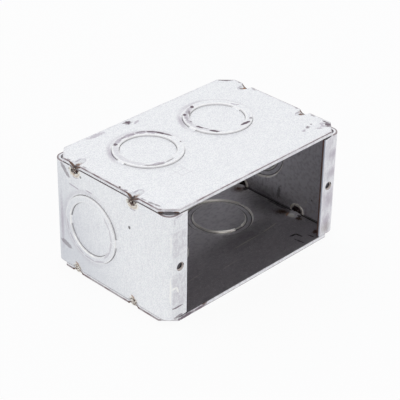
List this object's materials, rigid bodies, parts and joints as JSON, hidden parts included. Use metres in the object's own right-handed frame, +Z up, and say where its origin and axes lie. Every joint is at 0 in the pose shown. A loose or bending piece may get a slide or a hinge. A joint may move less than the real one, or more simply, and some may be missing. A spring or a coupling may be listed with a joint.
{
  "type": "single-gang masonry wiring box",
  "caption": "Galvanised sheet-steel masonry wiring box, open between narrow flanges with device screw holes, with concentric knockouts in its flat sides, ends and back.",
  "frame": {"origin": "under the middle of the box, on the plane of the lower knockout rings that it rests on", "axes": "+X along the length from the left end to the right end, +Y from the opening to the back, +Z up"},
  "size_m": [0.0968, 0.0644, 0.0507],
  "materials": {
    "galvanised_sheet": "galvanised, satin, finely mottled",
    "weld_metal": "scorched weld metal"
  },
  "bodies": {
    "root": {"body_wrap": "galvanised_sheet", "upper_side_plate": "galvanised_sheet", "lower_side_plate": "galvanised_sheet", "weld_beads": "weld_metal"}
  },
  "joints": []
}
